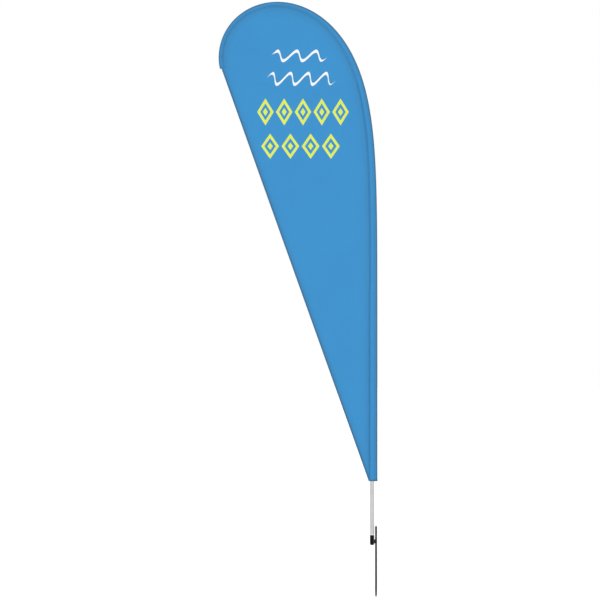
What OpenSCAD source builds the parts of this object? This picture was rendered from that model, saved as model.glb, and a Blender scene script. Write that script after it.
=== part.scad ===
// Teardrop flag on a ground spike. A pole of four push-fit sections is bent into a bow
// by the flag, whose sleeve it runs through. The pole stands on a spindle that turns in
// two ball bearings, so the flag swings with the wind.
// Frame: Z up, the ground at Z = 0, the spike's axis on X = 0 and Y = 0. The flag lies
// in the plane Y = 0, and its pole stands on the -X side of the spike.

/* [Ground spike] */
// Diameter of the spike rod
spike_d = 9.5; // [9.2:0.1:10]
// Depth of the point below the ground
spike_depth = 254; // [200:1:320]
// Height of the struck head above the ground
spike_above = 105; // [90:1:140]
// Length of the ogive point
point_len = 12; // [8:1:16]
// Height of the turned mark that shows how deep the rod is driven
mark_z = 2; // [1:0.5:3]
// Distance from the spike's axis to the pole's axis
pole_offset = 20; // [19.5:0.5:22]

/* [Bearing housing] */
// Outer diameter of the housing
housing_d = 21; // [20.8:0.1:22]
// Height of the housing's domed bottom above the ground
housing_bottom = 8; // [6:0.5:10]
// Height of the dome itself
dome_h = 4.5; // [3:0.5:6]
// Height of the housing's rim above the ground
housing_top = 58.5; // [58.5:0.5:60]
// Height of the link's lower edge above the ground
link_bottom = 17; // [14:1:24]
// Height of the link
link_h = 20; // [16:1:26]
// Width of the link's web
link_w = 8; // [6:0.5:9]
// Thickness of the saddle that hugs the housing
saddle_t = 2; // [1.5:0.25:2.5]
// Half of the angle that the saddle spans
saddle_angle = 60; // [40:5:80]

/* [Bearings] */
// Bore of both bearings
bearing_bore = 8; // [8:8]
// Outer diameter of both bearings
bearing_od = 16; // [16:16]
// Width of both bearings
bearing_w = 5; // [5:5]
// Diameter of a bearing ball
ball_d = 2; // [2:2]
// Balls in one bearing
ball_count = 11; // [9:1:11]
// Height of the lower bearing's underside
lower_bearing_z = 20; // [19:1:21]
// Height of the upper bearing's underside
upper_bearing_z = 50; // [49.5:0.5:50]

/* [Spindle] */
// Diameter of the shaft inside the pole
shaft_d = 15; // [14.5:0.5:15.5]
// Height of the shaft's top
shaft_top = 200; // [190:5:240]
// Diameter of the white collar that the pole stands on
collar_d = 20; // [19:0.5:20]
// Height of the collar's top, where the pole starts
collar_top = 66; // [65:0.5:68]
// Thickness of the O-rings that steady the pole
o_ring_t = 2.4; // [2:0.1:2.6]

/* [Pole] */
// Outer diameter of the base tube
tube_d = 20; // [20:20]
// Wall of the base tube
tube_wall = 1.5; // [1.5:1.5]
// Height of the base tube's top
tube_top = 1266; // [1260:1:1270]
// Diameter of the second section
mid_rod_d = 14; // [13:0.5:14]
// Diameter of the third section
upper_rod_d = 9.5; // [8:0.5:10]
// Diameter of the tip section
tip_rod_d = 6; // [5:0.5:6.5]

/* [Bow] */
// Height at which the pole starts to bend
bow_start = 1297; // [1290:1:1310]
// Length of the bent stretch, up to the flag's tip
bow_len = 2160; // [2160:40:2200]
// Radius of the bend at the tip
tip_radius = 260; // [250:1:300]
// Length over which the bend fades towards the base
bend_fade = 984; // [900:1:1100]
// How suddenly the bend fades
bend_power = 2.33; // [2:0.01:2.6]

/* [Flag] */
// Height of the sleeve's mouth
mouth_z = 331; // [325:1:335]
// From the pole's axis to the sleeve's outer edge, at the mouth
sleeve_out = 27; // [25:0.5:28]
// The same at the tip
sleeve_out_tip = 8; // [8:0.5:9]
// From the pole's axis to the seam with the panel, at the mouth
sleeve_in = 13.7; // [13.5:0.1:15]
// The same at the tip
sleeve_in_tip = 15.5; // [15:0.5:16.5]
// Distance from the tip over which the sleeve widens
sleeve_fade = 1000; // [900:10:1150]
// Thickness of the sleeve's wall
sleeve_wall = 0.8; // [0.6:0.1:0.9]
// Thickness of the flag panel
panel_t = 1; // [0.8:0.1:1.1]
// Width of the hems
hem_w = 7; // [6:0.5:8]

/* [Tension hook] */
// Height of the hook's bar above the ground
hook_z = 358; // [354:1:362]
// Thickness of the hook's bar
hook_bar_d = 4; // [3.5:0.5:4]
// Length of the elastic loop above the bar
loop_len = 38; // [34:1:50]

/* [Hidden] */
$fn = 64;

press = 0.01;      // gap that stands for a press fit
slip = 0.05;       // gap of a running or push fit
over = 1;          // how far a cutting shape runs past what it cuts

spike_r = spike_d / 2;
housing_r = housing_d / 2;
dome_sphere_r = (housing_r * housing_r + dome_h * dome_h) / (2 * dome_h);
flat_depth = 2;    // of the flat milled on the rod for the link
mark_w = 2;        // of the turned mark, a shallow groove
mark_depth = 0.4;
spigot_h = 4;      // of the plug inside the housing
housing_waist_r = 6.8;

journal_r = bearing_bore / 2;
pitch_r = (bearing_bore + bearing_od) / 4;
ball_r = ball_d / 2;
groove_r = ball_r + 0.03;
race_gap = 0.7;    // from the ball circle to either race's shoulder
race_edge = 0.3;
cage_t = 0.5;
cage_h = 2.6;

journal_bottom = lower_bearing_z - 2.5;
clip_gap = 0.1;    // between the clip and the lower bearing
clip_rim = 1.2;    // how far the clip stands out of the journal
clip_mouth = 3;
clip_t = 0.7;
clip_z = lower_bearing_z - clip_gap - clip_t;
clip_groove_r = journal_r - 0.4;
shim_t = 0.5;
shoulder_z = upper_bearing_z + bearing_w + shim_t;
shoulder_r = 5.5;
inner_ring_r = pitch_r - race_gap;
seal_bottom = shoulder_z + clip_gap;
seal_h = 2.6;
collar_gap = 0.3;  // between the housing's rim and the turning collar
collar_bottom = housing_top + collar_gap;
shaft_r = shaft_d / 2;
shaft_chamfer = 2;

tube_r = tube_d / 2;
tube_bore_r = tube_r - tube_wall;
o_ring_low = 84;
o_ring_high = 180;
o_ring_mid_r = tube_bore_r - slip - o_ring_t / 2;
o_groove_r = o_ring_mid_r - o_ring_t / 2 - slip;
o_groove_h = o_ring_t + 0.3;

reducer_spigot = 60;
reducer_flange = 6;
reducer_floor = 10;
reducer_nose_r = 8.5;
mid_rod_bottom = tube_top - reducer_spigot + reducer_floor;
rod_sides = 10;
ring_step = 40;    // spacing of the rings along the bow
mid_rod_end = 1200;     // distances along the bow are measured from the flag's tip
tip_rod_start = 480;
tip_rod_end = 16;
tip_cap_end = 12;
pocket_start = 8;
ferrule_wall = 1.3;

sleeve_start = mouth_z + hem_w;
sleeve_pad_tip = 6.5;   // radius of the sleeve's round part at the tip
sleeve_pad = 5;         // what it gains towards the base
sleeve_pad_fade = 1500;
seam_half = 0.6;        // half of the sleeve's thickness along its edges
fold_w = 4;             // width of the stitched fold along its outer edge
cavity_half = 0.1;      // half of the cavity's thickness where it ends at an edge
arc_points = 6;
hem_bulge = 0.4;        // of the mouth's hem outside the sleeve
trailing_hem_t = 1.8;
mouth_corner = 3;       // width of the panel's corner at the mouth

hook_pad_t = 2;
hook_pad_w = 10;
hook_pad_h = 32;
hook_reach = 7.8;
hook_lip_t = 1.5;
hook_lip_h = 8;
rivet_r = 1.6;
rivet_head_r = 2.4;
rivet_head_h = 0.8;
rivet_bulb = 1.2;
rivet_heights = [hook_z + 10, hook_z + 21];
loop_t = 1;
loop_w = 2.9;
loop_side = 1.2;   // from the hook's pad to the loop

steel = "#b9bcc0";
bright = "#dfe2e5";
black = "#151516";
dark_grey = "#38373b";
white = "#e6e6e3";
silver = "#cfcfcb";
glass_black = "#26272b";
panel_blue = "#4494cf";
sleeve_blue = "#418cc3";
hem_blue = "#40789e";

// The bow: its curvature is greatest at the tip and fades along a bell-shaped curve
// towards the base. Headings are in degrees above +X, and the pole starts at 90.
fine_step = 4;
fine_count = bow_len / fine_step;
function bend(t) = exp(-pow(t / bend_fade, bend_power)) / tip_radius * 180 / PI;
bow_heading = [
    for (i = 0, a = 90; i <= fine_count + 1;
         a = a + fine_step * bend(max(0, bow_len - (i + 0.5) * fine_step)), i = i + 1) a
];
function step_heading(i) = (bow_heading[i] + bow_heading[i + 1]) / 2;
bow_x = [
    for (i = 0, x = -pole_offset; i < fine_count + 1;
         x = x + fine_step * cos(step_heading(i)), i = i + 1) x
];
bow_z = [
    for (i = 0, z = bow_start; i < fine_count + 1;
         z = z + fine_step * sin(step_heading(i)), i = i + 1) z
];

// A place on the pole is named by t, its distance from the flag's tip along the pole.
// t above bow_len is on the straight stretch below the bow.
function t_at(z) = bow_len + bow_start - z;
function bow_index(t) = round((bow_len - t) / fine_step);
function centre(t) = t >= bow_len ? [-pole_offset, t_at(t)]
    : [bow_x[bow_index(t)], bow_z[bow_index(t)]];
function heading(t) = t >= bow_len ? 90 : bow_heading[bow_index(t)];
// The point at u outside the pole's axis, in the flag's plane, and v behind that plane
function place(t, u, v) = let (c = centre(t), a = heading(t))
    [c[0] + u * sin(a), v, c[1] - u * cos(a)];

// How far the sleeve has widened at t, from 0 at the tip to 1 at the base
function widening(t) = 1 - exp(-pow(t / sleeve_fade, 2));
function outer_at(t) = sleeve_out_tip + (sleeve_out - sleeve_out_tip) * widening(t);
function inner_at(t) = sleeve_in_tip + (sleeve_in - sleeve_in_tip) * widening(t);
function pad_at(t) = sleeve_pad_tip + sleeve_pad * min(1, t / sleeve_pad_fade);

bow_stations = [for (t = [bow_len : -ring_step : ring_step]) t];
sleeve_stations = concat([t_at(sleeve_start)], bow_stations, [pocket_start]);
function stations(from, to) = [for (t = [from : -ring_step : to]) t];

function rod_ring(t, r) = [
    for (j = [0 : rod_sides - 1])
        place(t, r * cos(360 * j / rod_sides), r * sin(360 * j / rod_sides))
];
// The sleeve's section: flat at both edges, round where it passes over the pole
function sleeve_section(r, out, in, edge) = let (
    first = acos(r / out),
    last = 180 - acos(r / in),
    arc = [for (k = [0 : arc_points - 1]) first + (last - first) * k / (arc_points - 1)]
) concat(
    [[out, -edge], [out, edge]], [for (a = arc) [r * cos(a), r * sin(a)]],
    [[-in, edge], [-in, -edge]],
    [for (k = [arc_points - 1 : -1 : 0]) [r * cos(arc[k]), -r * sin(arc[k])]]
);
function sleeve_outside(t, extra = 0) = [
    for (p = sleeve_section(pad_at(t) + extra, outer_at(t) + extra, inner_at(t), seam_half))
        place(t, p[0], p[1])
];
// The cavity stops short of both stitched edges
function sleeve_inside(t) = let (r = pad_at(t) - sleeve_wall) [
    for (p = sleeve_section(r, max(outer_at(t) - fold_w, r + sleeve_wall),
                            inner_at(t) - sleeve_wall, cavity_half))
        place(t, p[0], p[1])
];

// Solid through a list of rings with the same number of points
module skin(rings) {
    n = len(rings[0]);
    m = len(rings);
    polyhedron(
        points = [for (ring = rings) each ring],
        faces = concat(
            [[for (j = [0 : n - 1]) j]],
            [for (i = [0 : m - 2], j = [0 : n - 1])
                [i * n + j, (i + 1) * n + j, (i + 1) * n + (j + 1) % n, i * n + (j + 1) % n]],
            [[for (j = [n - 1 : -1 : 0]) (m - 1) * n + j]]
        )
    );
}

// Tube through two lists of rings, open at both ends
module hollow_skin(outside, inside) {
    n = len(outside[0]);
    m = len(outside);
    in = m * n;
    last = (m - 1) * n;
    polyhedron(
        points = concat([for (ring = outside) each ring], [for (ring = inside) each ring]),
        faces = concat(
            [for (i = [0 : m - 2], j = [0 : n - 1])
                [i * n + j, (i + 1) * n + j, (i + 1) * n + (j + 1) % n, i * n + (j + 1) % n]],
            [for (i = [0 : m - 2], j = [0 : n - 1])
                [in + i * n + j, in + i * n + (j + 1) % n,
                 in + (i + 1) * n + (j + 1) % n, in + (i + 1) * n + j]],
            [for (j = [0 : n - 1]) [j, (j + 1) % n, in + (j + 1) % n, in + j]],
            [for (j = [0 : n - 1])
                [last + j, in + last + j, in + last + (j + 1) % n, last + (j + 1) % n]]
        )
    );
}

module rod(ts, r) {
    skin([for (t = ts) rod_ring(t, r)]);
}

module on_pole_axis() {
    translate([-pole_offset, 0, 0]) children();
}

module ring(outer, inner, bottom, top) {
    translate([0, 0, bottom]) difference() {
        cylinder(r = outer, h = top - bottom);
        translate([0, 0, -over]) cylinder(r = inner, h = top - bottom + 2 * over);
    }
}

// ---- ground spike ----

module spike_rod() {
    ogive_r = (spike_r * spike_r + point_len * point_len) / (2 * spike_r);
    point_z = -spike_depth + point_len;
    color(black) difference() {
        union() {
            translate([0, 0, point_z]) cylinder(r = spike_r, h = spike_above - spike_r - point_z);
            translate([0, 0, spike_above - spike_r]) sphere(r = spike_r);
            rotate_extrude() intersection() {
                translate([spike_r - ogive_r, point_z]) circle(r = ogive_r);
                translate([0, point_z - point_len]) square([spike_r + over, point_len]);
            }
        }
        translate([-spike_r - over, -spike_r - over, link_bottom])
            cube([flat_depth + over, spike_d + 2 * over, link_h]);
        ring(spike_r + over, spike_r - mark_depth, mark_z, mark_z + mark_w);
    }
}

module spike_link() {
    outer = housing_r + saddle_t;
    web_start = housing_r + saddle_t / 2;
    reach = 2 * outer;
    color(dark_grey) on_pole_axis() translate([0, 0, link_bottom]) linear_extrude(link_h) {
        intersection() {
            difference() {
                circle(r = outer);
                circle(r = housing_r + press);
            }
            polygon([
                [0, 0], reach * [cos(saddle_angle), -sin(saddle_angle)],
                [reach, 0], reach * [cos(saddle_angle), sin(saddle_angle)],
            ]);
        }
        translate([web_start, -link_w / 2])
            square([pole_offset - web_start - spike_r + flat_depth, link_w]);
    }
}

module bearing_housing() {
    shell_bottom = housing_bottom + dome_h;
    rim = 0.8;
    color(black) on_pole_axis() difference() {
        union() {
            translate([0, 0, shell_bottom])
                cylinder(r = housing_r, h = housing_top - rim - shell_bottom);
            translate([0, 0, housing_top - rim])
                cylinder(r1 = housing_r, r2 = housing_r - rim, h = rim);
        }
        translate([0, 0, shell_bottom - over])
            cylinder(r = bearing_od / 2, h = lower_bearing_z + bearing_w - shell_bottom + over);
        translate([0, 0, shell_bottom]) cylinder(r = housing_waist_r, h = housing_top);
        translate([0, 0, upper_bearing_z]) cylinder(r = bearing_od / 2, h = housing_top);
    }
}

module housing_plug() {
    color(black) on_pole_axis() {
        intersection() {
            translate([0, 0, housing_bottom + dome_sphere_r]) sphere(r = dome_sphere_r);
            translate([-housing_d, -housing_d, housing_bottom - over])
                cube([2 * housing_d, 2 * housing_d, dome_h + over]);
        }
        translate([0, 0, housing_bottom + dome_h / 2])
            cylinder(r = bearing_od / 2 - press, h = dome_h / 2 + spigot_h);
    }
}

module dust_seal() {
    color(black) on_pole_axis()
        ring(bearing_od / 2 - press, shoulder_r + slip, seal_bottom, seal_bottom + seal_h);
}

// ---- ball bearings ----

module race(inner, outer, bottom) {
    color(bright) on_pole_axis() translate([0, 0, bottom]) rotate_extrude() difference() {
        polygon([
            [inner, race_edge], [inner + race_edge, 0], [outer - race_edge, 0],
            [outer, race_edge], [outer, bearing_w - race_edge],
            [outer - race_edge, bearing_w], [inner + race_edge, bearing_w],
            [inner, bearing_w - race_edge],
        ]);
        translate([pitch_r, bearing_w / 2]) circle(r = groove_r);
    }
}

module ball_places(bottom) {
    for (i = [0 : ball_count - 1])
        rotate([0, 0, 360 * i / ball_count])
            translate([pitch_r, 0, bottom + bearing_w / 2]) children();
}

module balls(bottom) {
    color(bright) on_pole_axis() ball_places(bottom) sphere(r = ball_r);
}

// The ribbon that keeps the balls apart, drilled for each of them
module cage(bottom) {
    low = bottom + (bearing_w - cage_h) / 2;
    color(steel) on_pole_axis() difference() {
        ring(pitch_r + cage_t / 2, pitch_r - cage_t / 2, low, low + cage_h);
        ball_places(bottom) rotate([0, 90, 0])
            cylinder(r = groove_r, h = 2 * ball_d, center = true);
    }
}

module lower_outer_race() {
    race(pitch_r + race_gap, bearing_od / 2 - press, lower_bearing_z);
}

module upper_outer_race() {
    race(pitch_r + race_gap, bearing_od / 2 - press, upper_bearing_z);
}

module lower_inner_race() {
    race(journal_r + press, inner_ring_r, lower_bearing_z);
}

module upper_inner_race() {
    race(journal_r + press, inner_ring_r, upper_bearing_z);
}

module lower_bearing_balls() {
    balls(lower_bearing_z);
}

module upper_bearing_balls() {
    balls(upper_bearing_z);
}

module lower_ball_cage() {
    cage(lower_bearing_z);
}

module upper_ball_cage() {
    cage(upper_bearing_z);
}

// ---- spindle ----

module spindle_shaft() {
    color(steel) on_pole_axis() difference() {
        union() {
            translate([0, 0, journal_bottom])
                cylinder(r = journal_r, h = shoulder_z - journal_bottom);
            translate([0, 0, shoulder_z]) cylinder(r = shoulder_r, h = collar_top - shoulder_z);
            translate([0, 0, collar_top])
                cylinder(r = shaft_r, h = shaft_top - shaft_chamfer - collar_top);
            translate([0, 0, shaft_top - shaft_chamfer])
                cylinder(r1 = shaft_r, r2 = shaft_r - shaft_chamfer, h = shaft_chamfer);
        }
        ring(journal_r + over, clip_groove_r, clip_z - slip, clip_z + clip_t + slip);
        for (z = [o_ring_low, o_ring_high])
            ring(shaft_r + over, o_groove_r, z - o_groove_h / 2, z + o_groove_h / 2);
    }
}

module thrust_collar() {
    edge = 0.5;
    color(white) on_pole_axis() rotate_extrude() polygon([
        [shoulder_r + press, collar_bottom], [collar_d / 2 - edge, collar_bottom],
        [collar_d / 2, collar_bottom + edge], [collar_d / 2, collar_top - edge],
        [collar_d / 2 - edge, collar_top], [shoulder_r + press, collar_top],
    ]);
}

module shim_washer() {
    color(bright) on_pole_axis()
        ring(inner_ring_r, journal_r + slip, shoulder_z - shim_t, shoulder_z);
}

module inner_spacer() {
    color(steel) on_pole_axis()
        ring(inner_ring_r, journal_r + slip, lower_bearing_z + bearing_w, upper_bearing_z);
}

module retaining_clip() {
    color(dark_grey) on_pole_axis() difference() {
        ring(journal_r + clip_rim, clip_groove_r + press, clip_z, clip_z + clip_t);
        translate([0, -clip_mouth / 2, clip_z - over])
            cube([2 * journal_r, clip_mouth, clip_t + 2 * over]);
    }
}

module o_ring(z) {
    color(black) on_pole_axis() translate([0, 0, z]) rotate_extrude()
        translate([o_ring_mid_r, 0]) circle(r = o_ring_t / 2);
}

module lower_o_ring() {
    o_ring(o_ring_low);
}

module upper_o_ring() {
    o_ring(o_ring_high);
}

// ---- pole ----

// Both rivets lie along X, so their holes are cut with cylinders turned that way
module rivet_hole(z, r) {
    translate([0, 0, z]) rotate([0, 90, 0]) cylinder(r = r, h = tube_r + hook_pad_t + over);
}

module base_tube() {
    color(silver) on_pole_axis() difference() {
        ring(tube_r, tube_bore_r, collar_top, tube_top);
        for (z = rivet_heights) rivet_hole(z, rivet_r);
    }
}

module tube_reducer() {
    color(silver) on_pole_axis() difference() {
        union() {
            translate([0, 0, tube_top - reducer_spigot])
                cylinder(r = tube_bore_r - press, h = reducer_spigot + reducer_flange);
            translate([0, 0, tube_top]) cylinder(r = tube_r, h = reducer_flange);
            translate([0, 0, tube_top]) cylinder(r = reducer_nose_r, h = bow_start - tube_top);
        }
        translate([0, 0, mid_rod_bottom])
            cylinder(r = mid_rod_d / 2 + slip, h = bow_start - mid_rod_bottom + over);
    }
}

module mid_rod() {
    color(glass_black)
        rod(concat([t_at(mid_rod_bottom)], stations(bow_len, mid_rod_end)), mid_rod_d / 2);
}

// Sleeve that joins a thick rod to a thin one, whose ends meet at t
module ferrule(t, thick_r, thin_r, grip) {
    color(silver) difference() {
        rod(stations(t + grip, t - grip), thick_r + ferrule_wall);
        rod(stations(t + grip, t), thick_r + slip);
        rod(stations(t, t - grip), thin_r + slip);
    }
}

module lower_ferrule() {
    ferrule(mid_rod_end, mid_rod_d / 2, upper_rod_d / 2, 2 * ring_step);
}

module upper_rod() {
    color(glass_black) rod(stations(mid_rod_end, tip_rod_start), upper_rod_d / 2);
}

module upper_ferrule() {
    ferrule(tip_rod_start, upper_rod_d / 2, tip_rod_d / 2, ring_step);
}

module tip_rod() {
    color(glass_black)
        rod(concat(stations(tip_rod_start, ring_step), [tip_rod_end]), tip_rod_d / 2);
}

module tip_cap() {
    color(black) difference() {
        rod([ring_step, tip_rod_end, tip_cap_end], tip_rod_d / 2 + over);
        rod([ring_step, tip_rod_end], tip_rod_d / 2 + slip);
    }
}

// ---- tension hook, inside the sleeve's mouth ----

module tension_hook() {
    bar_r = hook_bar_d / 2;
    color(black) on_pole_axis() difference() {
        union() {
            translate([0, -hook_pad_w / 2, hook_z - bar_r])
                cube([tube_r + hook_pad_t, hook_pad_w, hook_pad_h]);
            translate([tube_r, 0, hook_z]) rotate([0, 90, 0]) cylinder(r = bar_r, h = hook_reach);
            translate([tube_r + hook_reach - hook_lip_t, -bar_r, hook_z - hook_lip_h])
                cube([hook_lip_t, hook_bar_d, hook_lip_h]);
        }
        cylinder(r = tube_r + press, h = tube_top);
        for (z = rivet_heights) {
            rivet_hole(z, rivet_r);
            rivet_countersink(z);
        }
    }
}

module rivet_countersink(z) {
    translate([tube_r + hook_pad_t - rivet_head_h, 0, z]) rotate([0, 90, 0])
        cylinder(r1 = rivet_r, r2 = rivet_head_r, h = rivet_head_h);
}

module hook_rivets() {
    color(bright) on_pole_axis() for (z = rivet_heights) {
        translate([tube_bore_r - rivet_bulb, 0, z]) rotate([0, 90, 0])
            cylinder(r = rivet_r - press, h = tube_r + hook_pad_t - tube_bore_r + rivet_bulb);
        translate([tube_bore_r - rivet_bulb, 0, z]) rotate([0, 90, 0])
            cylinder(r = rivet_head_r, h = rivet_bulb / 2);
        rivet_countersink(z);
    }
}

module stadium(r, length) {
    circle(r = r);
    translate([0, length]) circle(r = r);
    translate([-r, 0]) square([2 * r, length]);
}

module tension_loop() {
    inner = hook_bar_d / 2 + slip;
    color(glass_black)
        translate([-pole_offset + tube_r + hook_pad_t + loop_side, 0, hook_z])
        rotate([90, 0, 90]) linear_extrude(loop_w) difference() {
            stadium(inner + loop_t, loop_len);
            stadium(inner, loop_len);
        }
}

// ---- flag ----

module pole_sleeve() {
    color(sleeve_blue) hollow_skin(
        [for (t = sleeve_stations) sleeve_outside(t)],
        [for (t = sleeve_stations) sleeve_inside(t)]
    );
}

module mouth_hem() {
    ends = [t_at(mouth_z), t_at(sleeve_start)];
    color(hem_blue) hollow_skin(
        [for (t = ends) sleeve_outside(t, hem_bulge)],
        [for (t = ends) sleeve_inside(t)]
    );
}

module tip_pocket() {
    color(sleeve_blue) skin([for (t = [pocket_start, 0]) sleeve_outside(t)]);
}

seam_line = [
    for (t = concat(sleeve_stations, [0])) let (p = place(t, -inner_at(t), 0)) [p[0], p[2]]
];
tip_corner = centre(0);
seam_end = seam_line[len(seam_line) - 1];
seam_x = seam_line[0][0];
mouth_point = [seam_x - mouth_corner, mouth_z];
trailing_way = (mouth_point - tip_corner) / norm(mouth_point - tip_corner);
trailing_in = [-trailing_way[1], trailing_way[0]];
pocket_way = (seam_end - tip_corner) / norm(seam_end - tip_corner);
hem_top = tip_corner + pocket_way * hem_w / (pocket_way * trailing_in);
hem_inside = tip_corner + trailing_in * hem_w;
hem_bottom = hem_inside + trailing_way * (seam_x - hem_inside[0]) / trailing_way[0];

module flat_cloth(points, thickness) {
    rotate([90, 0, 0]) linear_extrude(thickness, center = true) polygon(points);
}

module flag_panel() {
    inside = [for (p = seam_line) if (p[1] > hem_bottom[1]) p];
    color(panel_blue) flat_cloth(concat([hem_bottom], inside, [hem_top]), panel_t);
}

module trailing_hem() {
    color(hem_blue)
        flat_cloth([tip_corner, mouth_point, [seam_x, mouth_z], hem_bottom, hem_top], trailing_hem_t);
}

spike_rod();
spike_link();
bearing_housing();
housing_plug();
dust_seal();
lower_outer_race();
upper_outer_race();
lower_bearing_balls();
lower_ball_cage();
upper_bearing_balls();
upper_ball_cage();
spindle_shaft();
thrust_collar();
shim_washer();
inner_spacer();
retaining_clip();
lower_inner_race();
upper_inner_race();
lower_o_ring();
upper_o_ring();
base_tube();
tube_reducer();
mid_rod();
lower_ferrule();
upper_rod();
upper_ferrule();
tip_rod();
tip_cap();
tension_hook();
hook_rivets();
tension_loop();
pole_sleeve();
mouth_hem();
tip_pocket();
flag_panel();
trailing_hem();
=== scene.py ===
# %% [markdown]
# # A teardrop flag on its ground spike
# The flag is a sheet of knitted polyester, sewn to a long narrow sleeve. A pole in four
# sections slides into the sleeve and is bent into a bow by it. The pole stands on a
# spindle in two ball bearings, and a steel spike holds them in the ground.
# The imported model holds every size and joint. This script gives each piece its finish,
# and makes the cloth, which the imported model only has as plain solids.

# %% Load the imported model
import math
import random

import bpy
import numpy as np
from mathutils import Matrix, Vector
from mathutils.geometry import delaunay_2d_cdt


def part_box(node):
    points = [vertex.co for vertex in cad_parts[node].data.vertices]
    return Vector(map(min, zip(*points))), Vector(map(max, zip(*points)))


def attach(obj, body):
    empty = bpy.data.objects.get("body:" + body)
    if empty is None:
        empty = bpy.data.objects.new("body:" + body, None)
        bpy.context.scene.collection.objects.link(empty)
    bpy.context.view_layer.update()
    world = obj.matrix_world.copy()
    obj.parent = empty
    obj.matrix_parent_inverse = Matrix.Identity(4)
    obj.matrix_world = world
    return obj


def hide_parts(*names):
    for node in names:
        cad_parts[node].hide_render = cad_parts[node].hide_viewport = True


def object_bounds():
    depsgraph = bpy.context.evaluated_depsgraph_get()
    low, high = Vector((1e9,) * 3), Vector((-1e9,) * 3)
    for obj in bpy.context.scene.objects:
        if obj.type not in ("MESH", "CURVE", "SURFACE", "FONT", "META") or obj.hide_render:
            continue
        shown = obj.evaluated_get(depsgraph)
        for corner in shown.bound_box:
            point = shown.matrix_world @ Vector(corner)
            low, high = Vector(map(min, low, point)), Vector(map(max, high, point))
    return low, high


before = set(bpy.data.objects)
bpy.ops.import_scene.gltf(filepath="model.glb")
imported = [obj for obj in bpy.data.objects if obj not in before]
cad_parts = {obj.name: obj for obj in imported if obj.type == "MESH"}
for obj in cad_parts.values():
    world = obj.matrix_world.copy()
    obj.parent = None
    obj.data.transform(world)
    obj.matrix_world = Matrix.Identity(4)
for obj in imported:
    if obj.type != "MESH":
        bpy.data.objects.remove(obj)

CAD_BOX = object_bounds()
MM = 0.001
print("packed model:", [round(c, 4) for corner in CAD_BOX for c in corner])

# %% [markdown]
# ## The bow
# A bent rod of even thickness has a smooth curvature, which is strongest where the cloth
# pulls most, at the tip, and fades to nothing at the base. A table of points could hold
# that line, and so could a spline with handles. Here it is one formula, summed in small
# steps, so every piece that follows the pole asks for its place with the same few words:
# t, the distance from the flag's tip along the pole, u, outwards from the pole in the
# flag's plane, and v, backwards out of that plane.

# %% The pole's line
POLE_X = -20 * MM
BOW_START_Z = 1297 * MM
BOW_LENGTH = 2160 * MM
TIP_RADIUS = 260 * MM
BEND_FADE = 984 * MM
BEND_POWER = 2.33
MOUTH_Z = 331 * MM
HEM = 7 * MM

bow_t = np.linspace(BOW_LENGTH, 0, 1081)
bow_step = BOW_LENGTH / (len(bow_t) - 1)
mid_t = (bow_t[1:] + bow_t[:-1]) / 2
bend = np.exp(-(mid_t / BEND_FADE) ** BEND_POWER) / TIP_RADIUS
bow_heading = math.pi / 2 + np.concatenate([[0], np.cumsum(bend * bow_step)])
mid_heading = (bow_heading[1:] + bow_heading[:-1]) / 2
bow_x = POLE_X + np.concatenate([[0], np.cumsum(np.cos(mid_heading) * bow_step)])
bow_z = BOW_START_Z + np.concatenate([[0], np.cumsum(np.sin(mid_heading) * bow_step)])


def t_at(z):
    """Distance from the tip of a height on the straight stretch."""
    return BOW_LENGTH + BOW_START_Z - z


def place(t, u=0.0, v=0.0):
    """Points at u and v from the pole's line, for one t or an array of them. The line
    runs on straight below the bow, and past its end at the tip."""
    t, u, v = np.broadcast_arrays(*(np.asarray(a, float) for a in (t, u, v)))
    below = np.maximum(t - BOW_LENGTH, 0)
    at = np.minimum(t, BOW_LENGTH)
    heading = np.interp(at, bow_t[::-1], bow_heading[::-1])
    beyond = np.maximum(-t, 0)
    x = np.interp(at, bow_t[::-1], bow_x[::-1]) + u * np.sin(heading) + beyond * np.cos(heading)
    z = np.interp(at, bow_t[::-1], bow_z[::-1]) - u * np.cos(heading) + beyond * np.sin(heading)
    z = z - below
    return np.stack([x, v, z], axis=-1)


print("flag tip at", place(0).round(4), "after turning",
      round(math.degrees(bow_heading[-1] - bow_heading[0])), "degrees")

# %% [markdown]
# ## The sleeve's width
# The sleeve is cut as a narrow wedge: wide at the mouth, where the thick tube goes in,
# and narrow at the tip. Both its edges are given as distances from the pole's line.

# %% Edges of the sleeve
SLEEVE_FADE = 1000 * MM


def widening(t):
    return 1 - np.exp(-(np.asarray(t) / SLEEVE_FADE) ** 2)


def outer_at(t):
    return (8 + 19 * widening(t)) * MM


def inner_at(t):
    return (15.5 - 1.8 * widening(t)) * MM


def seam_point(t, towards_pole=0.0):
    return place(t, -inner_at(t) + towards_pole)


MOUTH_T = t_at(MOUTH_Z)
SEAM_X = float(seam_point(MOUTH_T)[0])
tip_corner = place(0)[[0, 2]]
mouth_corner = np.array([SEAM_X - 3 * MM, MOUTH_Z])
trailing_length = float(np.linalg.norm(mouth_corner - tip_corner))
trailing_way = (mouth_corner - tip_corner) / trailing_length
trailing_in = np.array([-trailing_way[1], trailing_way[0]])
print("sleeve", round(MOUTH_T, 3), "m long, straight edge", round(trailing_length, 3), "m")

# %% [markdown]
# ## Making a piece
# Every piece is a mesh from a list of points and faces. It could be modelled by hand with
# the same result, but points that follow the pole's line are easier to compute. A sweep
# joins rings of points into a skin, a lathe turns an outline about an upright axis, and
# `finish_piece` gives the piece its finish and says which body carries it.

# %% Helpers for meshes
def put_in_scene(name, data):
    made = bpy.data.objects.new(name, data)
    bpy.context.scene.collection.objects.link(made)
    return made


def make_mesh(name, points, faces):
    mesh = bpy.data.meshes.new(name)
    mesh.from_pydata([tuple(p) for p in np.asarray(points, float)], [], faces)
    mesh.validate()
    mesh.shade_smooth()
    mesh.update()
    return put_in_scene(name, mesh)
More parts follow.
